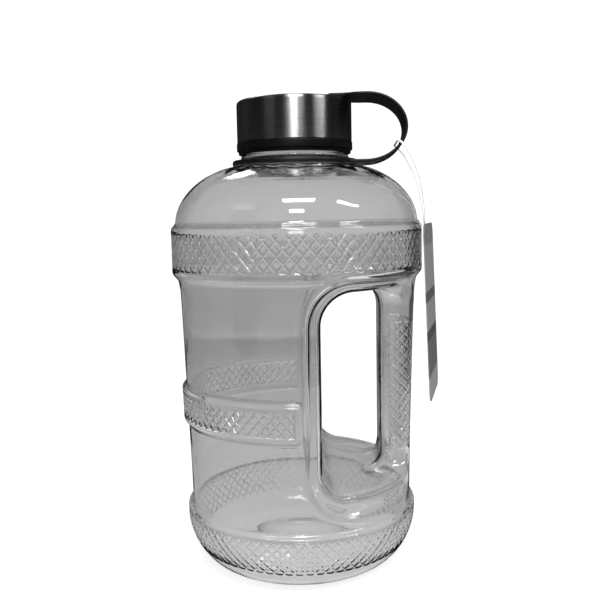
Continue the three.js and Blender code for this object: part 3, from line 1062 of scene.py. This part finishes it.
def bow_line():
    """The middle of the sheet in (x, z), from inside the ring to the far side of the eye."""
    a = np.linspace(-math.pi / 2, math.pi / 2, 40)
    middle, rise = (BOW["low"] + BOW["high"]) / 2, (BOW["high"] - BOW["low"]) / 2
    arc = np.column_stack([BOW["centre"] + BOW["reach"] * np.cos(a), middle + rise * np.sin(a)])
    dish = eye_low[2] + STRAP["thick"] / 2
    return np.vstack([(BOW["root"], BOW["low"]), arc, (EYE["ramp_end"], BOW["high"]),
                      (EYE["ramp_start"], dish), (-EYE["radius"] - 2, dish)])


BOW_LINE = bow_line()
print("the strap's line has", len(BOW_LINE), "points")


def strap_field(x, y, z):
    shape = np.shape(x)
    p = np.stack([np.ravel(x), np.ravel(z)], -1)
    away = np.full(len(p), 1e9)
    for a, b in zip(BOW_LINE, BOW_LINE[1:]):
        away = np.minimum(away, segment_distance(p, a, b))
    away = away.reshape(shape) - STRAP["thick"] / 2
    r = np.hypot(x, y)
    upper = z > (BOW["low"] + BOW["high"]) / 2
    narrow = smooth_step(-x, -TONGUE["from_x"], -TONGUE["to_x"]) * upper
    half = STRAP["half"] - (STRAP["half"] - TONGUE["half"]) * narrow
    tongue = np.maximum(np.abs(y) - half, -x)
    eye = np.maximum(r - EYE["radius"], x - EYE["ramp_start"])
    plan = np.where(upper, np.maximum(soft_min(tongue, eye, STRAP_JOINS["eye"]), EYE["bore"] - r),
                    np.maximum(np.abs(y) - half, COLLAR["inner"] - r))
    sheet = rounded_box(away, plan, STRAP["edge"])
    middle = (COLLAR["inner"] + COLLAR["outer"]) / 2
    ring = rounded_box(np.abs(r - middle) - (COLLAR["outer"] - COLLAR["inner"]) / 2,
                       np.abs(z - BOW["low"]) - STRAP["thick"] / 2, COLLAR["edge"])
    lip = rounded_box(np.abs(r - COLLAR["outer"] + LIP_BEAD) - LIP_BEAD,
                      np.abs(z - BOW["low"] - LIP_LIFT) - LIP_BEAD, STRAP["edge"])
    return soft_min(soft_min(sheet, ring, STRAP_JOINS["ring"]), lip, STRAP_JOINS["lip"])


# %% Net the strap
STRAP_STEP = 0.6
STRAP_LOW = (-34.0, -34.0, 207.5)
STRAP_HIGH = (60.0, 34.0, 245.5)


def make_strap():
    points, quads = net_mesh(strap_field, STRAP_LOW, STRAP_HIGH, STRAP_STEP)
    return mesh_object("carry_strap", turn_z(points, STRAP_TURN), quads.tolist())


carry_strap = make_strap()
finish_piece(carry_strap, elastomer, "black_elastomer", None,
             "strap_collar", "strap_bow", "strap_eye")
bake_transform(carry_strap)

# %% [markdown]
# ## The swing tag
#
# The tag hangs from the strap when the jug is new. It keeps the frame's own card and
# takes a printed finish, and its string is the cord made at the start.

# %% The tag and its string
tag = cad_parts["swing_tag"]
tag.data.materials.clear()
tag.data.materials.append(board)
finish_piece(tag_cord, cotton, "cotton_string", "strap", "tag_string")

# %% [markdown]
# ## The studio
#
# A pale sweep and soft boxes. Clear plastic shows whatever is behind it, so the room is
# near white, and painted shade greys the sweep behind the jug. Mirrored rays see a darker
# room, the sweep as a painted dark reflection, and a few narrow boxes: those draw the
# upright streaks on steel and plastic.

# %% What each kind of ray sees
def by_ray(tree, plain, mirrored, through):
    """Shows a mirrored ray one shader, a ray that came through clear plastic another.
    Cycles calls a refracted ray glossy too, so the test for it comes last."""
    rays = add_node(tree, "ShaderNodeLightPath")
    mixed = plain
    for flag, other in (("Is Glossy Ray", mirrored), ("Is Transmission Ray", through)):
        both = add_node(tree, "ShaderNodeMixShader", links={"Fac": rays.outputs[flag]})
        tree.links.new(mixed.outputs[0], both.inputs[1])
        tree.links.new(other.outputs[0], both.inputs[2])
        mixed = both
    return mixed


# %% The floor
SWEEP = {"size": 3.0, "depth": 1.2, "bend": 0.5, "rise": 1.6, "below": 0.0004}  # metres


def make_floor():
    """A paper sweep: flat under the jug, then bent up into a wall behind it."""
    size, depth, bend = SWEEP["size"], SWEEP["depth"], SWEEP["bend"]
    line = [(-size, 0.0), (depth, 0.0)]
    line += [(depth + bend * math.sin(a), bend - bend * math.cos(a))
             for a in np.linspace(0.1, math.pi / 2, 12)]
    line.append((depth + bend, SWEEP["rise"]))
    points = [(x / MM, y / MM, (z - SWEEP["below"]) / MM) for y, z in line for x in (-size, size)]
    faces = [(2 * i, 2 * i + 1, 2 * i + 3, 2 * i + 2) for i in range(len(line) - 1)]
    return mesh_object("floor", points, faces)


# painted shade: how bright clear plastic sees the floor at each distance behind the jug,
# in metres. The floor is evenly lit, but it is painted darker to an edge at 0.7 m, and
# lighter again past that edge.
PAINTED_THROUGH_END = (0.8, 0.54)
PAINTED_THROUGH_SHADES = [(0.04, 0.88), (0.13, 0.75), (0.22, 0.74), (0.3, 0.63), (0.5, 0.49), (0.7, 0.4),
                (0.72, 0.64)]


def sweep_paint():
    """A white sheet, lit and glowing evenly. Rays through clear plastic see painted shade on it:
    grey away from the jug and to its sides, lighter higher up. Mirrored rays see it as a
    painted dark reflection, nearly black."""
    material, tree = new_material("sweep_paper")
    place = add_node(tree, "ShaderNodeTexCoord")
    at = add_node(tree, "ShaderNodeSeparateXYZ", links={"Vector": place.outputs["Object"]})
    fibre = add_node(tree, "ShaderNodeTexNoise", {"Scale": 1 / (6 * MM)},
                     {"Vector": place.outputs["Object"]})
    tone = add_node(tree, "ShaderNodeMix", {"data_type": "RGBA"})
    tone.inputs[6].default_value = linear("#8A8A8A")
    tone.inputs[7].default_value = linear("#8D8D8D")
    tree.links.new(fibre.outputs[0], tone.inputs[0])
    lit = add_node(tree, "ShaderNodeBsdfPrincipled", {
        "Roughness": 0.9, "Specular IOR Level": 0.1, "Emission Strength": 0.78,
        "Emission Color": (1, 1, 1, 1)}, {"Base Color": tone.outputs[2]})
    # painted shade: rays through clear plastic see the sweep darker away from the jug and to its
    # sides, and lighter higher up
    far = add_node(tree, "ShaderNodeMapRange", {"From Min": 0.0, "From Max": 1.0},
                   {"Value": at.outputs["Y"]})
    ramp = add_node(tree, "ShaderNodeValToRGB", links={"Fac": far.outputs[0]})
    stops = ramp.color_ramp
    stops.elements[0].color = (1.0, 1.0, 1.0, 1)
    stops.elements[1].position = PAINTED_THROUGH_END[0]
    stops.elements[1].color = (PAINTED_THROUGH_END[1], PAINTED_THROUGH_END[1], PAINTED_THROUGH_END[1], 1)
    for spot, shade in PAINTED_THROUGH_SHADES:
        stop = stops.elements.new(spot)
        stop.color = (shade, shade, shade, 1)
    up = add_node(tree, "ShaderNodeMapRange", {
        "interpolation_type": "SMOOTHSTEP", "From Min": 0.0, "From Max": 0.22,
        "To Min": 1.0, "To Max": 1.6}, {"Value": at.outputs["Z"]})
    away = add_node(tree, "ShaderNodeMath", {"operation": "MULTIPLY"})
    tree.links.new(ramp.outputs[0], away.inputs[0])
    tree.links.new(up.outputs[0], away.inputs[1])
    beside = add_node(tree, "ShaderNodeMath", {"operation": "ABSOLUTE"},
                      {"Value": at.outputs["X"]})
    side = add_node(tree, "ShaderNodeMapRange", {
        "interpolation_type": "SMOOTHSTEP", "From Min": 0.4, "From Max": 1.6,
        "To Min": 1.0, "To Max": 0.4}, {"Value": beside.outputs[0]})
    share = add_node(tree, "ShaderNodeMath", {"operation": "MULTIPLY"})
    tree.links.new(away.outputs[0], share.inputs[0])
    tree.links.new(side.outputs[0], share.inputs[1])
    # the painted shade, as a glow that only rays through clear plastic see
    grey = add_node(tree, "ShaderNodeEmission", links={"Strength": share.outputs[0]})
    # painted dark reflection: mirrored rays see the white sweep nearly black
    black = add_node(tree, "ShaderNodeEmission", {"Strength": 0.012})
    finish_material(tree, by_ray(tree, lit, black, grey))
    return material


floor = make_floor()
floor.data.materials.append(sweep_paint())
print("floor and wall:", len(floor.data.polygons), "faces")

# %% The room
def make_room():
    """White behind the jug, greyer at its sides, and dark in front for mirrored rays."""
    world = bpy.data.worlds.new("room")
    world.use_nodes = True
    tree = world.node_tree
    tree.nodes.clear()
    place = add_node(tree, "ShaderNodeTexCoord")
    way = add_node(tree, "ShaderNodeSeparateXYZ", links={"Vector": place.outputs["Generated"]})
    behind = add_node(tree, "ShaderNodeMapRange", {
        "interpolation_type": "SMOOTHSTEP", "From Min": 0.1, "From Max": 0.8,
        "To Min": 0.3, "To Max": 0.95}, {"Value": way.outputs["Y"]})
    mirrored = add_node(tree, "ShaderNodeMapRange", {
        "interpolation_type": "SMOOTHSTEP", "From Min": -0.1, "From Max": 1.0,
        "To Min": 0.005, "To Max": 0.06}, {"Value": way.outputs["Y"]})
    white = add_node(tree, "ShaderNodeBackground", {"Color": (1, 1, 1, 1), "Strength": 1.0})
    through = add_node(tree, "ShaderNodeBackground", {"Color": (1, 1, 1, 1)},
                       {"Strength": behind.outputs[0]})
    dark = add_node(tree, "ShaderNodeBackground", {"Color": (1, 1, 1, 1)},
                    {"Strength": mirrored.outputs[0]})
    mixed = by_ray(tree, white, dark, through)
    add_node(tree, "ShaderNodeOutputWorld", links={"Surface": mixed.outputs[0]})
    bpy.context.scene.world = world


make_room()
print("world:", bpy.context.scene.world.name)

# %% The soft boxes
LIGHT_DISTANCE = 1.5
AIM_HEIGHT = 0.15


def soft_box(name, azimuth, elevation, width, tall, strength, roll=0.0):
    """A box of light that faces the jug. Azimuth 0 is over the camera, roll turns the box."""
    data = bpy.data.lights.new(name, "AREA")
    data.shape = "RECTANGLE"
    data.size, data.size_y = width, tall
    data.energy = strength
    light = bpy.data.objects.new(name, data)
    a, e = math.radians(azimuth), math.radians(elevation)
    aim = Vector((0, 0, AIM_HEIGHT))
    way = Vector((math.sin(a) * math.cos(e), -math.cos(a) * math.cos(e), math.sin(e)))
    light.location = aim + LIGHT_DISTANCE * way
    light.rotation_euler = (-way).to_track_quat("-Z", "Y").to_euler()
    light.rotation_euler.rotate_axis("Z", math.radians(roll))
    light.visible_camera = False
    bpy.context.scene.collection.objects.link(light)
    return light


soft_box("box_front", 3, 58, 0.62, 0.19, 9.5)
soft_box("box_low", 0, 33, 0.3, 0.2, 6.2)
soft_box("box_right", 60, 42, 0.5, 0.12, 5.0, -50)
soft_box("box_left", -55, 40, 0.5, 0.3, 0.3)
soft_box("box_back", 200, 45, 0.4, 0.3, 3.0)
print("soft boxes:", len(bpy.data.lights))

# %% [markdown]
# ## Light paths and the end
#
# Light through a handle crosses up to twelve skins, so transparent paths may be long.

# %% Finish
scene = bpy.context.scene
scene.view_settings.view_transform = "Standard"
scene.cycles.max_bounces = 28
scene.cycles.transmission_bounces = 24
scene.cycles.glossy_bounces = 6
scene.cycles.diffuse_bounces = 4
